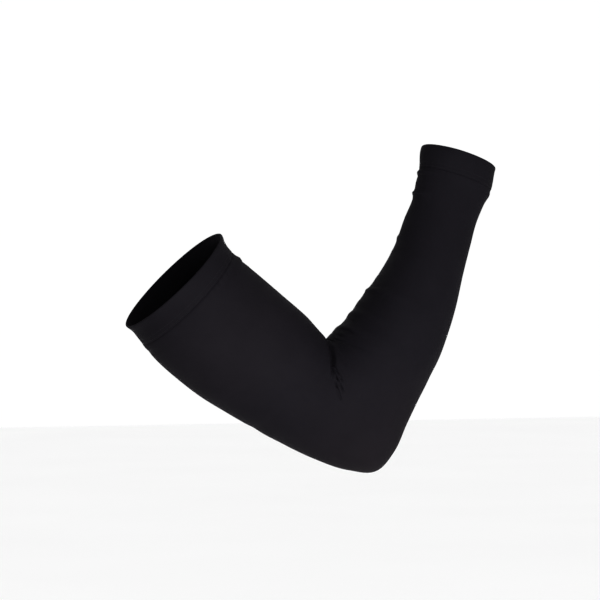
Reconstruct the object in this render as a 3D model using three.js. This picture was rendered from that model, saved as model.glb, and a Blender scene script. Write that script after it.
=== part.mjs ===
// Cooling arm sleeve: a thin stretch-knit tube as it sits on a bent arm, with a turned, stitched hem at each end.
// Sizes are millimetres and angles are degrees. The elbow bends in the X-Z plane and +Z is up. The origin is the
// middle of the upper opening, where the arm comes in. The outer side of the arm faces -Y.

import * as THREE from "three";
import { LoftGeometry } from "three/addons/geometries/LoftGeometry.js";

// The arm's pose, along a spine that runs straight, turns about the inner-elbow crease, and runs straight again.
const upperArmLength = 135; // upper opening to where the elbow's turn starts
const upperArmSlope = 40; // how far the upper arm falls below level on its way to the elbow
const elbowBend = 106; // how far the spine turns
const elbowRadius = 50; // crease to spine
const forearmLength = 193; // end of the elbow's turn to the wrist opening

// Widths lie in the plane of the bend, and depths lie across it.
const upperArmWidth = 110;
const upperArmDepth = 96;
const elbowWidth = 124; // crease to elbow tip
const elbowDepth = 87;
const forearmWidth = 95;
const forearmDepth = 86;
const wristWidth = 66;
const wristDepth = 52;
const wristLength = 62; // how much of the forearm counts as wrist

// The cloth.
const cloth = 1.2; // one layer
const creaseRadius = 1.8; // how tightly the cloth turns at the inner elbow
const upperHem = 19; // turned hem at the upper opening
const wristHem = 20; // turned hem at the wrist
const seamGap = 0.3; // between a hem and the tube
const foldHeight = 2; // how far a full pucker stands out of the cloth
const foldWidth = 4; // half the width of a full pucker, measured along the arm

// How finely the surfaces are cut.
const pointsAround = 36;
const hemSteps = 4;
const edgeSteps = 4;

const ringGap = { upperArm: 9, elbow: 5.2, forearm: 5.3, wrist: 3.6 }; // largest distance between rings

const degrees = Math.PI / 180;
const elbowLength = elbowRadius * elbowBend * degrees;
const armLength = upperArmLength + elbowLength + forearmLength;
const wristStart = armLength - wristLength;

// Each stretch of the arm: where it starts, how long it is, and the sizes that its rows are shares of.
const stretches = {
  upperArm: {
    start: 0,
    length: upperArmLength,
    front: upperArmWidth,
    back: upperArmWidth,
    depth: upperArmDepth,
  },
  elbow: {
    start: upperArmLength,
    length: elbowLength,
    front: elbowRadius - creaseRadius,
    back: elbowWidth - elbowRadius,
    depth: elbowDepth,
  },
  forearm: {
    start: upperArmLength + elbowLength,
    length: forearmLength - wristLength,
    front: forearmWidth,
    back: forearmWidth,
    depth: forearmDepth,
  },
  wrist: {
    start: wristStart,
    length: wristLength,
    front: wristWidth,
    back: wristWidth,
    depth: wristDepth,
  },
};

// Sections of the arm. `along` is a share of the stretch's length. `front` (towards the inner elbow) and `back` are
// measured from the spine as shares of its width, and `depth` is a share of its depth. `egg` narrows the back.
// `tilt` leans the section's front towards the wrist, and `skew` its outer side.
const sectionRows = [
  { stretch: "upperArm", along: 0.0, front: 0.508, back: 0.502, depth: 1.0, egg: 0.02, tilt: 5, skew: 0 },
  { stretch: "upperArm", along: 0.05, front: 0.48, back: 0.494, depth: 0.985, egg: 0.02, tilt: 4.5, skew: 0 },
  { stretch: "upperArm", along: 0.1, front: 0.463, back: 0.504, depth: 0.98, egg: 0.02, tilt: 4, skew: 0 },
  { stretch: "upperArm", along: 0.26, front: 0.455, back: 0.542, depth: 0.98, egg: 0.03, tilt: 2, skew: 0 },
  { stretch: "upperArm", along: 0.42, front: 0.461, back: 0.55, depth: 0.98, egg: 0.04, tilt: 0, skew: 0 },
  { stretch: "upperArm", along: 0.6, front: 0.47, back: 0.538, depth: 0.96, egg: 0.05, tilt: 0, skew: 0 },
  { stretch: "upperArm", along: 0.8, front: 0.47, back: 0.499, depth: 0.92, egg: 0.06, tilt: 0, skew: 0 },
  { stretch: "upperArm", along: 0.94, front: 0.449, back: 0.466, depth: 0.9, egg: 0.08, tilt: 0, skew: 0 },
  { stretch: "elbow", along: 0.04, front: 1.0, back: 0.653, depth: 0.97, egg: 0.1, tilt: 0, skew: 0 },
  { stretch: "elbow", along: 0.17, front: 1.0, back: 0.646, depth: 0.98, egg: 0.13, tilt: 0, skew: 0 },
  { stretch: "elbow", along: 0.33, front: 1.0, back: 0.731, depth: 0.99, egg: 0.18, tilt: 0, skew: 0 },
  { stretch: "elbow", along: 0.48, front: 1.0, back: 0.893, depth: 1.0, egg: 0.24, tilt: 0, skew: 0 },
  { stretch: "elbow", along: 0.58, front: 1.0, back: 1.0, depth: 1.0, egg: 0.26, tilt: 0, skew: 0 },
  { stretch: "elbow", along: 0.67, front: 1.0, back: 0.912, depth: 1.0, egg: 0.24, tilt: 0, skew: 0 },
  { stretch: "elbow", along: 0.78, front: 1.0, back: 0.755, depth: 1.0, egg: 0.18, tilt: 0, skew: 0 },
  { stretch: "elbow", along: 0.9, front: 1.0, back: 0.677, depth: 1.0, egg: 0.14, tilt: 0, skew: 0 },
  { stretch: "forearm", along: 0.02, front: 0.477, back: 0.526, depth: 1.01, egg: 0.12, tilt: 0, skew: 0 },
  { stretch: "forearm", along: 0.18, front: 0.383, back: 0.54, depth: 1.0, egg: 0.1, tilt: 0, skew: 0 },
  { stretch: "forearm", along: 0.34, front: 0.331, back: 0.529, depth: 0.97, egg: 0.08, tilt: 0, skew: 0 },
  { stretch: "forearm", along: 0.54, front: 0.262, back: 0.502, depth: 0.88, egg: 0.06, tilt: 0, skew: 0 },
  { stretch: "forearm", along: 0.76, front: 0.225, back: 0.45, depth: 0.77, egg: 0.04, tilt: 0, skew: 0 },
  { stretch: "forearm", along: 0.96, front: 0.244, back: 0.412, depth: 0.66, egg: 0.02, tilt: -1, skew: 0 },
  { stretch: "wrist", along: 0.2, front: 0.354, back: 0.556, depth: 1.0, egg: 0, tilt: -2, skew: 0 },
  { stretch: "wrist", along: 0.45, front: 0.401, back: 0.558, depth: 0.97, egg: 0, tilt: -4, skew: 1 },
  { stretch: "wrist", along: 0.68, front: 0.436, back: 0.575, depth: 1.0, egg: 0, tilt: -6, skew: 2 },
  { stretch: "wrist", along: 1.0, front: 0.52, back: 0.525, depth: 1.08, egg: 0.05, tilt: -6, skew: 3 },
];

// Puckers, and with a height below zero, creases. `along` is a share of the stretch's length. `around` is where the
// fold's middle lies, counted from the inner elbow over the outer side, and `reach` is how far it runs either way.
// `height` and `width` are shares of the fold sizes.
const foldRows = [
  { stretch: "upperArm", along: 0.21, around: 0, reach: 50, height: 0.6, width: 0.8 },
  { stretch: "upperArm", along: 0.16, around: 180, reach: 40, height: 0.3, width: 0.8 },
  { stretch: "elbow", along: 0.26, around: 42, reach: 44, height: -2.6, width: 0.9 },
  { stretch: "elbow", along: 0.26, around: -42, reach: 44, height: -2.6, width: 0.9 },
  { stretch: "forearm", along: 0.1, around: 12, reach: 55, height: 0.7, width: 0.8 },
  { stretch: "forearm", along: 0.22, around: 10, reach: 60, height: 0.8, width: 0.9 },
  { stretch: "forearm", along: 0.41, around: 8, reach: 70, height: 0.9, width: 0.9 },
  { stretch: "forearm", along: 0.82, around: 0, reach: 50, height: 0.5, width: 0.9 },
  { stretch: "wrist", along: 0.29, around: 0, reach: 50, height: 1.0, width: 0.7 },
  { stretch: "wrist", along: 0.61, around: 0, reach: 50, height: 0.7, width: 0.7 },
  { stretch: "wrist", along: 0.61, around: 180, reach: 50, height: 0.5, width: 0.8 },
];

const place = (row) => stretches[row.stretch].start + row.along * stretches[row.stretch].length;

// The middle of the arm at a distance from the upper opening, and the spine's heading there.
function spine(distance) {
  const turn = THREE.MathUtils.clamp((distance - upperArmLength) / elbowRadius, 0, elbowBend * degrees);
  const slope = -upperArmSlope * degrees;
  const heading = slope + turn;
  const before = Math.min(distance, upperArmLength);
  const after = Math.max(distance - upperArmLength - elbowLength, 0);
  const middle = new THREE.Vector2(Math.cos(slope), Math.sin(slope)).multiplyScalar(before);
  middle.x += elbowRadius * (Math.sin(heading) - Math.sin(slope)) + after * Math.cos(heading);
  middle.y += elbowRadius * (Math.cos(slope) - Math.cos(heading)) + after * Math.sin(heading);
  return { middle: new THREE.Vector3(middle.x, 0, middle.y), heading };
}

// The section's sizes between the rows.
const sectionShape = new THREE.CubicInterpolant(
  sectionRows.map(place),
  sectionRows.flatMap((row) => {
    const { front, back, depth } = stretches[row.stretch];
    return [row.front * front, row.back * back, row.depth * depth, row.egg, row.tilt, row.skew];
  }),
  6,
);

// Distance along the arm as the skin has it, which is shorter than the spine's on the inside of the elbow's turn.
function skinLength(distance, chord) {
  const turned = THREE.MathUtils.clamp(distance, upperArmLength, upperArmLength + elbowLength);
  return distance - (turned * chord) / elbowRadius;
}

// How far the folds lift the cloth. `chord` is how far the place lies from the spine towards the inner elbow.
function lift(distance, around, chord) {
  let height = 0;
  for (const row of foldRows) {
    const off = (THREE.MathUtils.euclideanModulo(around - row.around + 180, 360) - 180) / row.reach;
    if (Math.abs(off) >= 1) continue;
    const along = (skinLength(distance, chord) - skinLength(place(row), chord)) / (row.width * foldWidth);
    height += row.height * foldHeight * Math.cos((off * Math.PI) / 2) ** 2 * Math.exp(-along * along);
  }
  return height;
}

// A point of the cloth's outer face. `around` runs from the inner elbow, over the outer side, to the elbow's back.
function skin(distance, around) {
  const { middle, heading } = spine(distance);
  const [front, back, depth, egg, tilt, skew] = sectionShape.evaluate(distance);
  const angle = around * degrees;
  const halfWidth = (front + back) / 2;
  const halfDepth = depth / 2;
  const chord = (front - back) / 2 + halfWidth * Math.cos(angle);
  const side = halfDepth * Math.sin(angle) * (1 + egg * Math.cos(angle));
  const outward = new THREE.Vector2(Math.cos(angle) * halfDepth, Math.sin(angle) * halfWidth).normalize();
  outward.multiplyScalar(lift(distance, around, chord));
  const lean = heading + Math.PI / 2 - tilt * degrees;
  const reach = chord + outward.x;
  const forward = (side + outward.y) * Math.tan(skew * degrees);
  return new THREE.Vector3(
    middle.x + reach * Math.cos(lean) + forward * Math.cos(heading),
    -(side + outward.y),
    middle.z + reach * Math.sin(lean) + forward * Math.sin(heading),
  );
}

// A point below the cloth's outer face.
function clothPoint(distance, around, below) {
  const nearby = 0.2;
  const point = skin(distance, around);
  if (below === 0) return point;
  const along = skin(distance + nearby, around).sub(skin(distance - nearby, around));
  const across = skin(distance, around + nearby).sub(skin(distance, around - nearby));
  return point.addScaledVector(across.cross(along).normalize(), -below);
}

// A closed wall round the arm, lofted through rings that go down its outside and back up its inside.
function clothWall(profile) {
  const rings = profile.map(({ distance, below }) =>
    Array.from({ length: pointsAround }, (_, i) => clothPoint(distance, (360 * i) / pointsAround, below)),
  );
  return new LoftGeometry([...rings, rings[0]]);
}

// Evenly spaced distances from one to the other, both included.
function spaced(from, to, steps) {
  return Array.from({ length: steps + 1 }, (_, i) => from + ((to - from) * i) / steps);
}

// The tube's rings, closest together where the cloth folds.
function tubeDistances(from, to) {
  const distances = [from];
  for (const [name, { start, length }] of Object.entries(stretches)) {
    const first = Math.max(start, from);
    const last = Math.min(start + length, to);
    distances.push(...spaced(first, last, Math.ceil((last - first) / ringGap[name])).slice(1));
  }
  return distances;
}

function tube() {
  const outside = tubeDistances(upperHem + seamGap, armLength - wristHem - seamGap);
  return clothWall([
    ...outside.map((distance) => ({ distance, below: 0 })),
    ...outside.reverse().map((distance) => ({ distance, below: cloth })),
  ]);
}

// A hem is two layers thick, with a round fold at the opening. `edge` is the opening and `seam` the stitched side.
function hem(edge, seam) {
  const inward = Math.sign(seam - edge);
  const bend = edge + inward * cloth;
  const outside = spaced(seam, bend, hemSteps).map((distance) => ({ distance, below: 0 }));
  const round = spaced(0, Math.PI, edgeSteps).slice(1, -1).map((turn) => ({
    distance: bend - inward * cloth * Math.sin(turn),
    below: cloth * (1 - Math.cos(turn)),
  }));
  const inside = spaced(bend, seam, hemSteps).map((distance) => ({ distance, below: 2 * cloth }));
  const profile = [...outside, ...round, ...inside];
  return clothWall(inward > 0 ? profile.reverse() : profile);
}

const knit = new THREE.MeshStandardMaterial({ color: 0x1b191d, roughness: 0.82, metalness: 0 });
const hemKnit = new THREE.MeshStandardMaterial({ color: 0x19171b, roughness: 0.8, metalness: 0 });

function piece(name, geometry, material) {
  const mesh = new THREE.Mesh(geometry, material);
  mesh.name = name;
  return mesh;
}

const sleeve = new THREE.Group();
sleeve.add(piece("sleeve_tube", tube(), knit));
sleeve.add(piece("upper_hem", hem(0, upperHem), hemKnit));
sleeve.add(piece("wrist_hem", hem(armLength, armLength - wristHem), hemKnit));

export default sleeve;
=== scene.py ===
from math import ceil, cos, pi, radians, sin

import bpy
import numpy as np
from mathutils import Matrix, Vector


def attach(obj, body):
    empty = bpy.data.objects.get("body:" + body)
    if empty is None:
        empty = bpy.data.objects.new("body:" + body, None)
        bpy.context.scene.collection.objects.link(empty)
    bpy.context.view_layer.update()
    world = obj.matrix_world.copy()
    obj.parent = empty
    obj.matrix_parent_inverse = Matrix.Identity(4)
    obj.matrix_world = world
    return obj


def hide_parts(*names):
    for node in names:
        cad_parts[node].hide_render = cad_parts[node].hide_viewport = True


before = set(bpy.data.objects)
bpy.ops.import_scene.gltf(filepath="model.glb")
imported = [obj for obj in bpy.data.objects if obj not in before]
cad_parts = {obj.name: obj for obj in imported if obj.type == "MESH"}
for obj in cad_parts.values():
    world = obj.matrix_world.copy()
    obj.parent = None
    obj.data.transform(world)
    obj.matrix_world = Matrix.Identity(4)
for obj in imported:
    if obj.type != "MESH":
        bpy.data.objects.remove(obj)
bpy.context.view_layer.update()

mm = 0.001
scene = bpy.context.scene


# The sleeve's bend and sizes, in millimetres and degrees

sleeve = {
    "upperArmLength": 135.0,
    "upperArmSlope": 40.0,  # fall below level on the way to the elbow
    "elbowBend": 106.0,
    "elbowRadius": 50.0,
    "forearmLength": 193.0,
    "wristLength": 62.0,  # how much of the lower part counts as wrist
    "upperArmWidth": 110.0,  # widths lie in the plane of the bend, depths across it
    "upperArmDepth": 96.0,
    "elbowWidth": 124.0,  # crease to elbow tip
    "elbowDepth": 87.0,
    "forearmWidth": 95.0,
    "forearmDepth": 86.0,
    "wristWidth": 66.0,
    "wristDepth": 52.0,
    "creaseRadius": 1.8,
    "upperHem": 19.0,
    "wristHem": 20.0,
}

elbowLength = sleeve["elbowRadius"] * radians(sleeve["elbowBend"])
sleeveLength = sleeve["upperArmLength"] + elbowLength + sleeve["forearmLength"]
elbowEnd = sleeve["upperArmLength"] + elbowLength

# start and length along the sleeve, then the width in front of and behind the spine, and the depth
stretches = {
    "upperArm": (0.0, sleeve["upperArmLength"],
                 sleeve["upperArmWidth"], sleeve["upperArmWidth"], sleeve["upperArmDepth"]),
    "elbow": (sleeve["upperArmLength"], elbowLength,
              sleeve["elbowRadius"] - sleeve["creaseRadius"],
              sleeve["elbowWidth"] - sleeve["elbowRadius"], sleeve["elbowDepth"]),
    "forearm": (elbowEnd, sleeve["forearmLength"] - sleeve["wristLength"],
                sleeve["forearmWidth"], sleeve["forearmWidth"], sleeve["forearmDepth"]),
    "wrist": (sleeveLength - sleeve["wristLength"], sleeve["wristLength"],
              sleeve["wristWidth"], sleeve["wristWidth"], sleeve["wristDepth"]),
}

# stretch, place along it, front, back and depth as shares of its sizes, then how far the section
# narrows at the back, and how far its front and its outer side lean, in degrees
sectionRows = [
    ("upperArm", 0.0, 0.508, 0.502, 1.0, 0.02, 5, 0),
    ("upperArm", 0.05, 0.48, 0.494, 0.985, 0.02, 4.5, 0),
    ("upperArm", 0.1, 0.463, 0.504, 0.98, 0.02, 4, 0),
    ("upperArm", 0.26, 0.455, 0.542, 0.98, 0.03, 2, 0),
    ("upperArm", 0.42, 0.461, 0.55, 0.98, 0.04, 0, 0),
    ("upperArm", 0.6, 0.47, 0.538, 0.96, 0.05, 0, 0),
    ("upperArm", 0.8, 0.47, 0.499, 0.92, 0.06, 0, 0),
    ("upperArm", 0.94, 0.449, 0.466, 0.9, 0.08, 0, 0),
    ("elbow", 0.04, 1.0, 0.653, 0.97, 0.1, 0, 0),
    ("elbow", 0.17, 1.0, 0.646, 0.98, 0.13, 0, 0),
    ("elbow", 0.33, 1.0, 0.731, 0.99, 0.18, 0, 0),
    ("elbow", 0.48, 1.0, 0.893, 1.0, 0.24, 0, 0),
    ("elbow", 0.58, 1.0, 1.0, 1.0, 0.26, 0, 0),
    ("elbow", 0.67, 1.0, 0.912, 1.0, 0.24, 0, 0),
    ("elbow", 0.78, 1.0, 0.755, 1.0, 0.18, 0, 0),
    ("elbow", 0.9, 1.0, 0.677, 1.0, 0.14, 0, 0),
    ("forearm", 0.02, 0.477, 0.526, 1.01, 0.12, 0, 0),
    ("forearm", 0.18, 0.383, 0.54, 1.0, 0.1, 0, 0),
    ("forearm", 0.34, 0.331, 0.529, 0.97, 0.08, 0, 0),
    ("forearm", 0.54, 0.262, 0.502, 0.88, 0.06, 0, 0),
    ("forearm", 0.76, 0.225, 0.45, 0.77, 0.04, 0, 0),
    ("forearm", 0.96, 0.244, 0.412, 0.66, 0.02, -1, 0),
    ("wrist", 0.2, 0.354, 0.556, 1.0, 0, -2, 0),
    ("wrist", 0.45, 0.401, 0.558, 0.97, 0, -4, 1),
    ("wrist", 0.68, 0.436, 0.575, 1.0, 0, -6, 2),
    ("wrist", 1.0, 0.52, 0.525, 1.08, 0.05, -6, 3),
]


def place(stretch, along):
    start, length = stretches[stretch][:2]
    return start + along * length


sectionPlaces = np.array([place(row[0], row[1]) for row in sectionRows])
sectionSizes = np.array([
    [row[2] * stretches[row[0]][2], row[3] * stretches[row[0]][3], row[4] * stretches[row[0]][4], *row[5:]]
    for row in sectionRows
])


def sectionAt(distance):  # smooth curve through the rows
    t = np.clip(distance, sectionPlaces[0], sectionPlaces[-1])
    last = len(sectionPlaces) - 1
    i = np.clip(np.searchsorted(sectionPlaces, t, side="right") - 1, 0, last - 1)
    t0, t1 = sectionPlaces[i], sectionPlaces[i + 1]
    before = np.where(i > 0, i - 1, i + 1)
    after = np.where(i + 2 <= last, i + 2, i)
    tBefore = np.where(i > 0, sectionPlaces[before], 2 * t0 - t1)
    tAfter = np.where(i + 2 <= last, sectionPlaces[after], 2 * t1 - t0)
    half = (t1 - t0) / 2
    wBefore, wAfter = half / (t0 - tBefore), half / (tAfter - t1)
    p = (t - t0) / (t1 - t0)
    p2, p3 = p * p, p * p * p
    shares = (
        (before, -wBefore * p3 + 2 * wBefore * p2 - wBefore * p),
        (i, (1 + wBefore) * p3 + (-1.5 - 2 * wBefore) * p2 + (-0.5 + wBefore) * p + 1),
        (i + 1, (-1 - wAfter) * p3 + (1.5 + wAfter) * p2 + 0.5 * p),
        (after, wAfter * p3 - wAfter * p2),
    )
    return sum(share[..., None] * sectionSizes[row] for row, share in shares)


def spineAt(distance):
    slope, radius = -radians(sleeve["upperArmSlope"]), sleeve["elbowRadius"]
    heading = slope + np.clip((distance - sleeve["upperArmLength"]) / radius, 0, radians(sleeve["elbowBend"]))
    before = np.minimum(distance, sleeve["upperArmLength"])
    after = np.maximum(distance - elbowEnd, 0)
    x = cos(slope) * before + radius * (np.sin(heading) - sin(slope)) + after * np.cos(heading)
    z = sin(slope) * before + radius * (cos(slope) - np.cos(heading)) + after * np.sin(heading)
    return x, z, heading


def skinLength(distance, chord):  # the cloth's own length, shorter inside the bend
    turned = np.clip(distance, sleeve["upperArmLength"], elbowEnd)
    return distance - turned * chord / sleeve["elbowRadius"]


# Folds: stretch, place along it, then around and reach in degrees, height and width in mm,
# and lean in mm along the sleeve for each 10 degrees

mainFolds = [
    ("upperArm", 0.21, 0, 50, 1.2, 3.2, 0),
    ("upperArm", 0.16, 180, 40, 0.6, 3.2, 0),
    ("elbow", 0.19, 42, 42, -3.9, 1.9, 0.6),
    ("elbow", 0.19, -42, 42, -3.9, 1.9, -0.6),
    ("forearm", 0.1, 12, 55, 1.4, 3.2, 0),
    ("forearm", 0.22, 10, 60, 1.6, 3.6, 0),
    ("forearm", 0.41, 8, 70, 1.8, 3.0, 0),
    ("forearm", 0.82, 0, 50, 1.2, 2.4, 0),
    ("wrist", 0.29, 0, 50, 2.1, 2.1, 0),
    ("wrist", 0.61, 0, 50, 1.6, 2.0, 0),
    ("wrist", 0.61, 180, 50, 1.0, 3.2, 0),
]


def foldHeight(folds, distance, around, chord):
    height = np.zeros(np.broadcast(distance, around).shape)
    for stretch, along, middle, reach, tall, wide, lean in folds:
        turned = (around - middle + 180) % 360 - 180
        window = np.where(np.abs(turned) < reach, np.cos(turned / reach * pi / 2) ** 2, 0)
        foldPlace = place(stretch, along)
        off = (skinLength(distance, chord) - skinLength(foldPlace, chord) - lean * turned / 10) / wide
        height += tall * window * np.exp(-off * off)
    return height


def skin(distance, around, folds):
    distance, around = np.broadcast_arrays(np.asarray(distance, float), np.asarray(around, float))
    x, z, heading = spineAt(distance)
    front, back, depth, egg, tilt, skew = np.moveaxis(sectionAt(distance), -1, 0)
    angle = np.radians(around)
    halfWidth, halfDepth = (front + back) / 2, depth / 2
    chord = (front - back) / 2 + halfWidth * np.cos(angle)
    side = halfDepth * np.sin(angle) * (1 + egg * np.cos(angle))
    outChord, outSide = np.cos(angle) * halfDepth, np.sin(angle) * halfWidth
    long = np.hypot(outChord, outSide)
    lift = foldHeight(folds, distance, around, chord)
    reach, across = chord + outChord / long * lift, side + outSide / long * lift
    lean = heading + pi / 2 - np.radians(tilt)
    forward = across * np.tan(np.radians(skew))
    return np.stack([
        x + reach * np.cos(lean) + forward * np.cos(heading),
        -across,
        z + reach * np.sin(lean) + forward * np.sin(heading),
    ], -1)


# Fine folds on top of the main ones. A long strand takes two rows, one after the other

elbowStrands = [
    ("elbow", 0.18, 50, 22, -0.8, 1.0, 1.4),
    ("elbow", 0.256, 58, 7, -1.8, 0.9, 6.0),
    ("elbow", 0.323, 65, 7, -1.8, 0.9, 6.0),
    ("elbow", 0.278, 67, 8, -2.3, 0.8, 5.5),
    ("elbow", 0.338, 74, 8, -2.3, 0.8, 5.5),
    ("elbow", 0.299, 77, 7, -2.3, 0.8, 4.8),
    ("elbow", 0.332, 83, 7, -2.3, 0.8, 4.8),
    ("elbow", 0.16, 61, 14, 0.5, 1.1, 3.7),
    ("elbow", 0.38, 66, 16, 0.5, 1.6, 3.2),
    ("elbow", 0.44, 44, 22, -0.5, 1.4, 2.0),
    ("elbow", 0.18, -48, 24, -1.0, 1.2, -1.2),
    ("elbow", 0.29, -68, 18, -1.3, 0.9, -3.8),
    ("elbow", 0.35, -60, 14, -0.9, 0.9, -2.4),
    ("elbow", 0.14, -58, 16, 0.5, 1.4, -3.0),
]

forearmRipples = [
    ("elbow", 0.9, 22, 12, -0.7, 0.9, -0.2),
    ("forearm", 0.01, 18, 14, 0.5, 0.9, -0.8),
    ("forearm", 0.035, 14, 12, -0.7, 0.8, -1.0),
    ("forearm", 0.055, 18, 14, 0.5, 0.9, -0.8),
    ("forearm", 0.08, 19, 18, -1.3, 0.9, -0.9),
    ("forearm", 0.105, 20, 16, 0.6, 1.1, -1.2),
    ("forearm", 0.14, 18, 20, -0.5, 1.3, -1.6),
    ("forearm", 0.165, 6, 26, -0.9, 1.1, -1.2),
    ("forearm", 0.26, 10, 28, -0.5, 1.6, -0.8),
    ("forearm", 0.31, -6, 30, 0.5, 2.4, -0.6),
    ("forearm", 0.385, 14, 26, -0.7, 1.3, 0.3),
    ("forearm", 0.44, 10, 26, -0.5, 1.4, 0.5),
    ("forearm", 0.52, -4, 34, 0.4, 2.6, 0.3),
    ("forearm", 0.63, 6, 30, 0.35, 2.4, 0),
    ("forearm", 0.72, -6, 30, 0.4, 2.2, 0.4),
    ("forearm", 0.05, -20, 18, -0.7, 1.2, 2.2),
    ("forearm", 0.12, -24, 20, -0.6, 1.3, 1.8),
    ("forearm", 0.25, -22, 24, -0.5, 1.5, 1.0),
    ("forearm", 0.4, -24, 24, -0.5, 1.4, -0.3),
    ("wrist", 0.24, -4, 40, -0.5, 1.3, 0.2),
    ("wrist", 0.36, 2, 36, -0.5, 1.4, 0.2),
    ("wrist", 0.45, 6, 34, 0.5, 1.8, 0),
    ("wrist", 0.56, -4, 34, -0.4, 1.3, 0),
    ("wrist", 0.66, 176, 36, -0.5, 1.3, 0),
    ("wrist", 0.54, 184, 30, 0.4, 2.0, 0),
]

upperArmDrags = [
    ("upperArm", 0.9, 34, 30, -0.7, 7.0, 1.5),
    ("upperArm", 0.78, 58, 34, 0.5, 8.0, 2.0),
    ("upperArm", 0.18, 52, 46, -0.5, 2.2, 0.2),
    ("upperArm", 0.24, 8, 34, -0.5, 1.5, 0),
    ("upperArm", 0.29, -6, 30, 0.4, 1.8, 0),
    ("upperArm", 0.2, 182, 30, -0.4, 1.4, 0),
]

allFolds = mainFolds + elbowStrands + forearmRipples + upperArmDrags

cloth = {
    "thickness": 0.7,  # one layer, mm
    "seamDepth": (0.45, 0.12),  # furrow that the stitching pulls in at the upper and the wrist hem
    "seamEven": (0.25, 1.0),  # the least share of it, away from the inner side of the bend
    "seamWidth": 1.2,
    "pucker": (0.3, 0.1),  # small waves along each seam
    "puckersAround": 40,
    "puckerDrift": (2.2, 5),  # how unevenly they are spaced, and how often that repeats
    "puckerWidth": 4.0,
    "pullAt": 0.9,  # where the seam pulls most, radians from the inner line
    "eased": 0.65,  # how far the rows of loops follow the cloth's own length round the bend
    "slackness": 0.16,  # height of the long, low waves
    "waves": 9,
    "waveLength": (9.0, 16.0),  # the shortest, and how much longer the longest is
    "waveBend": (6.0, 1.5),  # how far they are turned round the sleeve, and how much they wander
    "wavesAround": (1, 5),  # the fewest, and how many more the most is
    "seed": 5,
}

seams = (sleeve["upperHem"], sleeveLength - sleeve["wristHem"])
waveTable = np.random.default_rng(cloth["seed"]).uniform(size=(cloth["waves"], 4))


def clothSkin(distance, around):
    distance, around = np.broadcast_arrays(np.asarray(distance, float), np.asarray(around, float))
    points = skin(distance, around, allFolds)
    nearby = 0.25  # mm or degrees, to find the way out of the cloth
    alongStep = skin(distance + nearby, around, mainFolds) - skin(distance - nearby, around, mainFolds)
    aroundStep = skin(distance, around + nearby, mainFolds) - skin(distance, around - nearby, mainFolds)
    outward = np.cross(aroundStep, alongStep)
    outward /= np.linalg.norm(outward, axis=-1, keepdims=True)
    low = np.zeros(distance.shape)
    turn = np.radians(around)
    shortest, longer = cloth["waveLength"]
    fewest, more = cloth["wavesAround"]
    shift, bend = cloth["waveBend"]
    for long, count, phase, swing in waveTable:
        ahead = distance / (shortest + longer * long) + 2 * pi * phase + np.sin(turn + shift * swing) * bend
        low += np.sin(ahead) * np.cos(round(fewest + more * count) * turn + shift * swing)
    low *= cloth["slackness"] / 2
    inner = ((1 + np.cos(np.abs((around + 180) % 360 - 180) / 180 * pi - cloth["pullAt"])) / 2) ** 3
    drift, often = cloth["puckerDrift"]
    crinkle = np.sin(cloth["puckersAround"] * turn + drift * np.sin(often * turn))
    for seam, depth, least, pucker in zip(seams, cloth["seamDepth"], cloth["seamEven"], cloth["pucker"]):
        off = distance - seam
        pull = least + (1 - least) * inner
        low -= depth * pull * np.exp(-((off / cloth["seamWidth"]) ** 2))
        low += pucker * pull * crinkle * np.exp(-((off / cloth["puckerWidth"]) ** 2))
    return points + outward * low[..., None], outward


def clothLayer(distance, around, below):
    points, outward = clothSkin(distance, around)
    return points - outward * np.asarray(below, float)[..., None]


# Building meshes

def evenly(start, end, step):
    return np.linspace(start, end, max(2, ceil(abs(end - start) / step) + 1))


def ringMesh(name, rings, across, along, shades):  # closed tube of rings, unwrapped by the given u and v
    rows, count = rings.shape[:2]
    mesh = bpy.data.meshes.new(name)
    row, col = np.meshgrid(np.arange(rows), np.arange(count), indexing="ij")
    nextRow, nextCol = (row + 1) % rows, (col + 1) % count
    faces = np.stack([
        row * count + col, row * count + nextCol, nextRow * count + nextCol, nextRow * count + col,
    ], -1).reshape(-1, 4)
    mesh.from_pydata((rings.reshape(-1, 3) * mm).tolist(), [], faces.tolist())
    u0 = across[col]
    u1 = np.where(nextCol == 0, 2 * u0 - np.roll(u0, 1, 1), across[nextCol])
    layer = mesh.uv_layers.new(name="knitting")
    corners = np.stack([
        u0, along[row, col], u1, along[row, nextCol], u1, along[nextRow, nextCol], u0, along[nextRow, col],
    ], -1).astype(np.float32)
    layer.data.foreach_set("uv", corners.reshape(-1))
    mesh.polygons.foreach_set("use_smooth", [True] * len(mesh.polygons))
    mesh.update()
    piece = bpy.data.objects.new(name, mesh)
    scene.collection.objects.link(piece)
    for shadeName, values in shades.items():
        attribute = mesh.attributes.new(shadeName, "FLOAT", "POINT")
        attribute.data.foreach_set("value", np.asarray(values, np.float32).reshape(-1))
    return piece


pulledOpenAndHighlit = {  # place, how far it reaches along the sleeve, and how strong it is; knit pulled open, together with a painted highlight over the elbow and the upper arm's middle
    "elbowTip": (("elbow", 0.58), 34.0, 1.0),
    "upperArm": (("upperArm", 0.5), 60.0, 0.35),
}


def stretchAndHighlightShare(distance, around):  # how far the knit is pulled open, most over the elbow's tip, together with a painted highlight there and along the upper arm's middle
    distance, around = np.broadcast_arrays(distance, around)
    spreadAndHighlight = {
        name: strength * np.exp(-(((distance - place(*middle)) / reach) ** 2))
        for name, (middle, reach, strength) in pulledOpenAndHighlit.items()
    }
    outside = (1 - np.cos(np.radians(around))) / 2
    return spreadAndHighlight["elbowTip"] * outside ** 2 + spreadAndHighlight["upperArm"]


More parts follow.
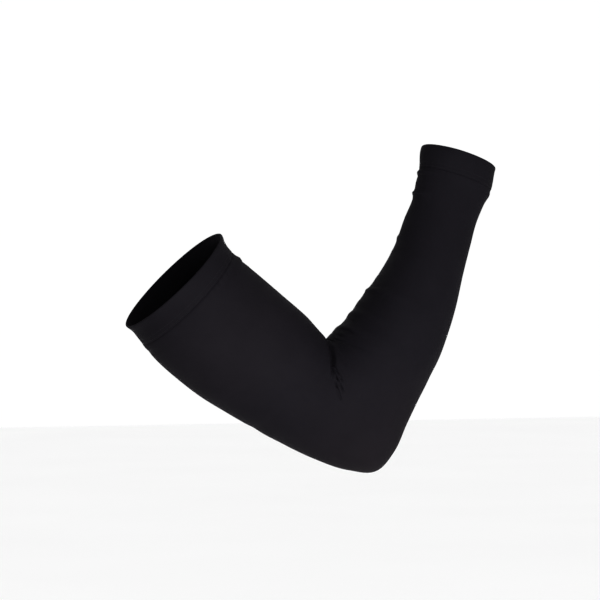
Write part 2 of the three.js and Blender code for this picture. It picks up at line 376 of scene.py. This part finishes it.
def wallPiece(name, profile, around):
    distance, below = np.array(profile).T
    below = np.broadcast_to(below[:, None], (len(profile), len(around)))
    rings = clothLayer(distance[:, None], around[None, :], below)
    steps = np.linalg.norm(np.diff(rings, axis=0), axis=-1) * np.sign(np.diff(distance))[:, None]
    skinAlong = np.concatenate([np.zeros((1, len(around))), np.cumsum(steps, axis=0)])
    along = distance[:, None] + cloth["eased"] * (skinAlong - (distance - distance[0])[:, None])
    # share of the lighter tone: knit pulled open, and a painted highlight
    shade = stretchAndHighlightShare(distance[:, None], around[None, :])
    return ringMesh(name, rings, around / 360, along, {"stretchedAndHighlit": shade})


tube = {  # steps in degrees round the sleeve and in mm along it, finest where the creases run
    "aroundSteps": ((0, 20, 2.0), (20, 95, 0.7), (95, 265, 3.6), (265, 340, 1.2), (340, 360, 2.0)),
    "ringSteps": (("upperArm", 0, 1, 1.9), ("elbow", 0, 0.1, 0.8), ("elbow", 0.1, 0.42, 0.6),
                  ("elbow", 0.42, 1, 1.2), ("forearm", 0, 0.2, 0.6), ("forearm", 0.2, 0.5, 1.0),
                  ("forearm", 0.5, 1, 1.5), ("wrist", 0, 1, 1.0)),
    "insideStep": 8.0,
    "endGap": 0.025,
    "endBevel": 0.06,
}


def makeTube():
    start, end = seams[0] + tube["endGap"], seams[1] - tube["endGap"]
    outside = []
    for name, first, last, step in tube["ringSteps"]:
        stretch = evenly(max(place(name, first), start), min(place(name, last), end), step)
        outside.extend(stretch[1:] if outside else stretch)
    thick = cloth["thickness"]
    bevel = tube["endBevel"]
    profile = [(start, bevel), (start + bevel, 0.0)] + [(distance, 0.0) for distance in outside[1:-1]]
    profile += [(end - bevel, 0.0), (end, bevel)]
    profile += [(distance, thick) for distance in evenly(end, start, tube["insideStep"])]
    around = np.concatenate([evenly(*span)[:-1] for span in tube["aroundSteps"]])
    return wallPiece("tube_cloth", profile, around)


hem = {
    "pointsAround": 176,
    "step": 0.8,
    "foldRadius": 0.8,  # the turned edge, mm
    "puff": 0.22,  # how far the double cloth stands out
    "puffRound": 0.7,
    "bendSteps": 8,
    "insideStep": 1.2,
    "rawEdge": ((0.4, 1.0), (0.15, 0.75)),  # mm short of the seam, and the share of the thickness there
}


def puffed(share):  # height over the tube's face, by the share of the hem's width
    return hem["puff"] * sin(pi * min(1, share)) ** hem["puffRound"]


def makeHem(name, edge, seam):
    inward = 1 if seam > edge else -1
    radius, thick = hem["foldRadius"], 2 * hem["foldRadius"]
    bend = edge + inward * radius
    outside = evenly(seam, bend, hem["step"])
    profile = [(distance, -puffed(abs(seam - distance) / abs(seam - bend))) for distance in outside]
    for i in range(1, hem["bendSteps"]):
        turn = pi * i / hem["bendSteps"]
        profile.append((bend - inward * radius * sin(turn), radius * (1 - cos(turn))))
    (full, fullShare), (last, lastShare) = hem["rawEdge"]
    inside = evenly(bend, seam - inward * full, hem["insideStep"])
    profile += [(distance, thick * fullShare) for distance in inside]
    profile.append((seam - inward * last, thick * lastShare))
    if inward > 0:
        profile.reverse()
    return wallPiece(name, profile, np.arange(hem["pointsAround"]) * 360 / hem["pointsAround"])


print("cloth pieces")
tubePiece = makeTube()
upperHemPiece = makeHem("upper_hem_cloth", 0.0, seams[0])
wristHemPiece = makeHem("wrist_hem_cloth", sleeveLength, seams[1])


# Stitching: two rows of short needle stitches outside, and the thread that zigzags between them inside

stitching = {
    "rows": (1.6, 4.6),  # from the seam towards the opening
    "pitch": 2.8,
    "length": 2.1,
    "threadRadius": 0.15,
    "standsOut": 0.04,  # how far the middle of a stitch arches up
    "sunk": 0.1,  # how far its ends lie in the cloth
    "sides": 6,
    "pointsPerStitch": 7,
    "inside": 1.75,  # how far in the looper thread lies
    "pointsPerZigzag": 8,
    "overhang": 1.4,  # how far it passes the first row
    "slant": 1.6,  # how far its turns lean round the sleeve, in points
}


def stitchCount(seam):  # whole stitches round the sleeve
    points = skin(float(seam), np.arange(0, 361, 3), mainFolds)
    girth = float(np.linalg.norm(np.diff(points, axis=0), axis=1).sum())
    return round(girth / stitching["pitch"])


def threadRings(path, outward, radius):  # rings of a thin thread along a path
    ahead = np.gradient(path, axis=-2)
    ahead /= np.linalg.norm(ahead, axis=-1, keepdims=True)
    across = np.cross(ahead, outward)
    across /= np.linalg.norm(across, axis=-1, keepdims=True)
    up = np.cross(across, ahead)
    turns = -np.arange(stitching["sides"]) * 2 * pi / stitching["sides"]
    return (path[..., None, :] + radius * (np.cos(turns)[:, None] * across[..., None, :]
            + np.sin(turns)[:, None] * up[..., None, :]))


def threadMesh(name, strands, closed):
    sides = stitching["sides"]
    corners, faces, wraps = [], [], []
    for rings in strands:
        base, rows = len(corners), len(rings)
        corners.extend((rings.reshape(-1, 3) * mm).tolist())
        for row in range(rows if closed else rows - 1):
            for side in range(sides):
                below, above = base + row * sides, base + (row + 1) % rows * sides
                beside = (side + 1) % sides
                faces.append((below + side, below + beside, above + beside, above + side))
                wrap, nextWrap = side / sides, (side + 1) / sides
                wraps.append(((wrap, row), (nextWrap, row), (nextWrap, row + 1), (wrap, row + 1)))
        if not closed:
            for row, order in ((0, -1), (rows - 1, 1)):
                faces.append(tuple(base + row * sides + side for side in range(sides))[::order])
                wraps.append(((0, row),) * sides)
    mesh = bpy.data.meshes.new(name)
    mesh.from_pydata(corners, [], faces)
    layer = mesh.uv_layers.new(name="twist")
    unwrapped = np.array([point for face in wraps for point in face], np.float32)
    layer.data.foreach_set("uv", unwrapped.reshape(-1))
    mesh.polygons.foreach_set("use_smooth", [True] * len(mesh.polygons))
    mesh.update()
    piece = bpy.data.objects.new(name, mesh)
    scene.collection.objects.link(piece)
    return piece


def makeStitches(name, edge, seam):
    inward = 1 if seam > edge else -1
    count = stitchCount(seam)
    share = stitching["length"] / stitching["pitch"]
    radius = stitching["threadRadius"]
    strands = []
    steps = np.linspace(0, 1, stitching["pointsPerStitch"])
    arch = stitching["standsOut"] * np.sin(pi * steps) ** 0.5 - stitching["sunk"]
    for row in stitching["rows"]:
        distance = seam - inward * row
        height = arch + puffed(row / abs(seam - edge))
        for i in range(count):
            around = (i + steps * share) * 360 / count
            points, outward = clothSkin(np.full(steps.shape, distance), around)
            strands.append(threadRings(points + outward * height[:, None], outward, radius))
    return threadMesh(name, strands, False)


def makeLooper(name, edge, seam):
    inward = 1 if seam > edge else -1
    count = stitchCount(seam)
    near, far = stitching["rows"]
    near -= stitching["overhang"]
    steps = np.arange(count * stitching["pointsPerZigzag"])
    turn = 2 * pi * steps / stitching["pointsPerZigzag"]
    distance = seam - inward * (near + (far - near) * (1 - np.cos(turn)) / 2)
    around = (steps + stitching["slant"] * np.sin(2 * turn)) * 360 / len(steps)
    points, outward = clothSkin(distance, around)
    path = points - outward * stitching["inside"]
    path, outward = (np.concatenate([row[-1:], row, row[:1]]) for row in (path, outward))
    rings = threadRings(path, outward, stitching["threadRadius"])[1:-1]
    return threadMesh(name, [rings], True)


print("stitching")
threadPieces = [
    makeStitches("upper_stitches", 0.0, seams[0]),
    makeStitches("wrist_stitches", sleeveLength, seams[1]),
    makeLooper("upper_looper_thread", 0.0, seams[0]),
    makeLooper("wrist_looper_thread", sleeveLength, seams[1]),
]


# Materials

class Signal:  # a socket that takes part in sums
    def __init__(self, tree, socket=None):
        self.tree, self.socket = tree, socket

    def node(self, kind, settings=None, values=None, output=0):
        made = self.tree.nodes.new(kind)
        for key, value in (settings or {}).items():
            setattr(made, key, value)
        for key, value in (values or {}).items():
            if isinstance(value, Signal):
                self.tree.links.new(value.socket, made.inputs[key])
            else:
                made.inputs[key].default_value = value
        return Signal(self.tree, made.outputs[output] if made.outputs else None)

    def math(self, operation, *others, clamp=False):
        terms = dict(enumerate((self,) + others))
        return self.node("ShaderNodeMath", {"operation": operation, "use_clamp": clamp}, terms)

    def reflected(self, operation, first):
        return self.node("ShaderNodeMath", {"operation": operation}, {0: first, 1: self})

    def __add__(self, other): return self.math("ADD", other)
    def __radd__(self, other): return self.reflected("ADD", other)
    def __sub__(self, other): return self.math("SUBTRACT", other)
    def __rsub__(self, other): return self.reflected("SUBTRACT", other)
    def __mul__(self, other): return self.math("MULTIPLY", other)
    def __rmul__(self, other): return self.reflected("MULTIPLY", other)

    def clamped(self):  # kept between 0 and 1
        return self.math("ADD", 0.0, clamp=True)

    def folded(self):  # a wave from 1 at each whole number to 0 halfway between them
        return (self.math("FRACT") - 0.5).math("ABSOLUTE") * 2.0

    def split(self):
        parts = self.node("ShaderNodeSeparateXYZ", None, {0: self})
        return [Signal(self.tree, socket) for socket in parts.socket.node.outputs[:2]]

    def mix(self, low, high):  # colours, by this share
        return self.node("ShaderNodeMix", {"data_type": "RGBA"}, {"Factor": self, 6: low, 7: high}, 2)


def startMaterial(name):
    material = bpy.data.materials.new(name)
    material.use_nodes = True
    material.node_tree.nodes.clear()
    return material, Signal(material.node_tree)


def finishMaterial(paint, constants, varying):
    shader = paint.node("ShaderNodeBsdfPrincipled", None, {**constants, **varying})
    paint.node("ShaderNodeOutputMaterial", None, {"Surface": shader})


knitLook = {
    "yarn": (0.012, 0.0109, 0.014, 1),
    "gaps": (0.0068, 0.0062, 0.0079, 1),
    # lighter, warmer tone where the knit is pulled open over the skin, partly a painted highlight
    "stretchedAndHighlightTint": (0.0166, 0.0138, 0.0158, 1),
    "walesAround": 420,
    "coursesPerMm": 1.5,
    "legSlant": 0.9,
    "loopLegs": 0.6,  # how much of the relief is loops, the rest being columns
    "wander": 0.5,  # how far the columns of loops stray
    "patchSize": 38.0,
    "patchesFrom": 0.35,
    "patches": 0.5,
    "gapShare": 0.8,
    "stretchedAndHighlightShare": 0.6,
    "fuzzSize": 900.0,
    "fuzz": 0.35,
    "roughness": 0.68,
    "roughPatches": 0.16,
    "roughGaps": 0.08,
    "specular": 0.06,
    "loopHeight": 0.00016,
    "bump": 0.55,
}

hemLook = {**knitLook, "yarn": (0.0108, 0.0098, 0.0126, 1), "coursesPerMm": 1.7}


def knitMaterial(name, look):
    material, paint = startMaterial(name)
    u, v = paint.node("ShaderNodeUVMap", {"uv_map": "knitting"}).split()
    spot = paint.node("ShaderNodeTexCoord", None, None, "Object")
    cloudy = paint.node("ShaderNodeTexNoise", None, {
        "Vector": spot, "Scale": look["patchSize"], "Detail": 3.0, "Roughness": 0.55})
    fine = paint.node("ShaderNodeTexNoise", None, {
        "Vector": spot, "Scale": look["fuzzSize"], "Detail": 2.0, "Roughness": 0.6})
    wander = (cloudy - 0.5) * look["wander"]
    fromMiddle = (u * look["walesAround"] + wander).folded()
    loopEdge = (v * look["coursesPerMm"] + fromMiddle * look["legSlant"] + wander).folded()
    rib = 1.0 - fromMiddle * fromMiddle
    loop = (1.0 - loopEdge * loopEdge) * look["loopLegs"] + rib * (1 - look["loopLegs"])
    gap = 1.0 - loop
    # lighter, warmer tone of the pulled-open knit, partly a painted highlight on the elbow and the upper arm
    pulledAndHighlit = paint.node("ShaderNodeAttribute", {"attribute_name": "stretchedAndHighlit"}, None, "Fac")
    base = (gap * look["gapShare"]).clamped().mix(look["yarn"], look["gaps"])
    tintedAndHighlit = (pulledAndHighlit * look["stretchedAndHighlightShare"]).clamped().mix(base, look["stretchedAndHighlightTint"])
    color = ((cloudy - look["patchesFrom"]) * look["patches"]).clamped().mix(tintedAndHighlit, look["gaps"])
    relief = loop + (fine - 0.5) * look["fuzz"]
    bump = paint.node("ShaderNodeBump", None, {
        "Strength": look["bump"], "Distance": look["loopHeight"], "Height": relief})
    rough = (cloudy - 0.5) * look["roughPatches"] + gap * look["roughGaps"] + look["roughness"]
    finishMaterial(paint, {"Specular IOR Level": look["specular"]}, {
        "Base Color": color, "Roughness": rough, "Normal": bump})
    return material


threadLook = {
    "light": (0.013, 0.012, 0.0148, 1),
    "dark": (0.006, 0.0055, 0.007, 1),
    "pliesPerStep": 2.0,
    "roughness": 0.5,
    "roughGaps": 0.15,
    "specular": 0.15,
    "plyHeight": 0.0001,
    "bump": 0.6,
}


def threadMaterial(name, look):
    material, paint = startMaterial(name)
    u, v = paint.node("ShaderNodeUVMap", {"uv_map": "twist"}).split()
    ply = (u + v * look["pliesPerStep"]).folded()
    bump = paint.node("ShaderNodeBump", None, {
        "Strength": look["bump"], "Distance": look["plyHeight"], "Height": 1.0 - ply * ply})
    finishMaterial(paint, {"Specular IOR Level": look["specular"]}, {
        "Base Color": ply.mix(look["light"], look["dark"]),
        "Roughness": ply * look["roughGaps"] + look["roughness"], "Normal": bump})
    return material


print("materials")
knit = knitMaterial("black_knit", knitLook)
hemKnit = knitMaterial("black_knit_hem", hemLook)
thread = threadMaterial("black_thread", threadLook)
tubePiece.data.materials.append(knit)
for piece in (upperHemPiece, wristHemPiece):
    piece.data.materials.append(hemKnit)
for piece in threadPieces:
    piece.data.materials.append(thread)


# Every piece hangs from the root body, and the imported sleeve parts are hidden

for piece in (tubePiece, upperHemPiece, wristHemPiece, *threadPieces):
    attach(piece, "root")
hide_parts("sleeve_tube")
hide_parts("upper_hem")
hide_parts("wrist_hem")


# Floor, light and camera

studio = {
    "floorBelow": 0.5,  # under the sleeve's origin, m
    "floorSize": 14.0,
    "floorColor": (0.95, 0.95, 0.95, 1),
    "floorShade": (0.92, 0.92, 0.92, 1),
    "floorPatchSize": 2.0,
    "floorRoughness": (0.8, 0.1),  # the least, and how much its patches add
    "floorSpecular": 0.1,
    "skyStrength": 0.7,
    "keyPower": 7.7,
    "keySize": 0.38,
    "keyPlace": (0.15, -0.88, -0.21),
    "fillPower": 18.0,
    "fillSize": 0.7,
    "fillPlace": (0.75, 1.65, -0.12),
    "aim": (0.14, 0.0, -0.06),
}

view = {
    "azimuth": -20.0,
    "distance": 2.0,
    "lens": 144.0,
    "sensor": 36.0,
    "originPixel": (173.0, 280.0),  # where the upper opening's middle lies in the photograph
    "imageSize": 600.0,
    "farthest": 50.0,
}


def makeFloor():
    half = studio["floorSize"] / 2
    mesh = bpy.data.meshes.new("studio_floor")
    corners = [(-half, -half, 0), (half, -half, 0), (half, half, 0), (-half, half, 0)]
    mesh.from_pydata(corners, [], [(0, 1, 2, 3)])
    floor = bpy.data.objects.new("studio_floor", mesh)
    floor.location.z = -studio["floorBelow"]
    scene.collection.objects.link(floor)
    material, paint = startMaterial("pale_floor")
    spot = paint.node("ShaderNodeTexCoord", None, None, "Object")
    patchy = paint.node("ShaderNodeTexNoise", None, {
        "Vector": spot, "Scale": studio["floorPatchSize"], "Detail": 2.0})
    least, more = studio["floorRoughness"]
    finishMaterial(paint, {"Specular IOR Level": studio["floorSpecular"]}, {
        "Base Color": patchy.mix(studio["floorColor"], studio["floorShade"]),
        "Roughness": patchy * more + least})
    mesh.materials.append(material)


def makeLight(name, power, size, position):
    lamp = bpy.data.lights.new(name, "AREA")
    lamp.shape, lamp.size, lamp.energy = "DISK", size, power
    light = bpy.data.objects.new(name, lamp)
    light.location = position
    light.visible_camera = False
    light.rotation_euler = (Vector(studio["aim"]) - light.location).to_track_quat("-Z", "Y").to_euler()
    scene.collection.objects.link(light)


def makeSky():
    world = bpy.data.worlds.new("studio")
    world.use_nodes = True
    background = world.node_tree.nodes["Background"]
    background.inputs["Color"].default_value = (1, 1, 1, 1)
    background.inputs["Strength"].default_value = studio["skyStrength"]
    scene.world = world


def makeCamera():
    azimuth = radians(view["azimuth"])
    ahead = Vector((-sin(azimuth), cos(azimuth), 0))
    right = Vector((cos(azimuth), sin(azimuth), 0))
    pixels = view["imageSize"] * view["lens"] / view["sensor"]
    middle = view["imageSize"] / 2
    x, y = view["originPixel"]
    towards = ahead + right * ((x - middle) / pixels) + Vector((0, 0, (middle - y) / pixels))
    lens = bpy.data.cameras.new("camera")
    lens.lens, lens.sensor_width, lens.clip_end = view["lens"], view["sensor"], view["farthest"]
    camera = bpy.data.objects.new("camera", lens)
    camera.location = towards * -view["distance"]
    camera.rotation_euler = (pi / 2, 0, azimuth)
    scene.collection.objects.link(camera)
    scene.camera = camera


print("studio")
makeFloor()
makeLight("key", studio["keyPower"], studio["keySize"], studio["keyPlace"])
makeLight("fill", studio["fillPower"], studio["fillSize"], studio["fillPlace"])
makeSky()
makeCamera()
scene.view_settings.view_transform = "Standard"
scene.view_settings.look = "High Contrast"
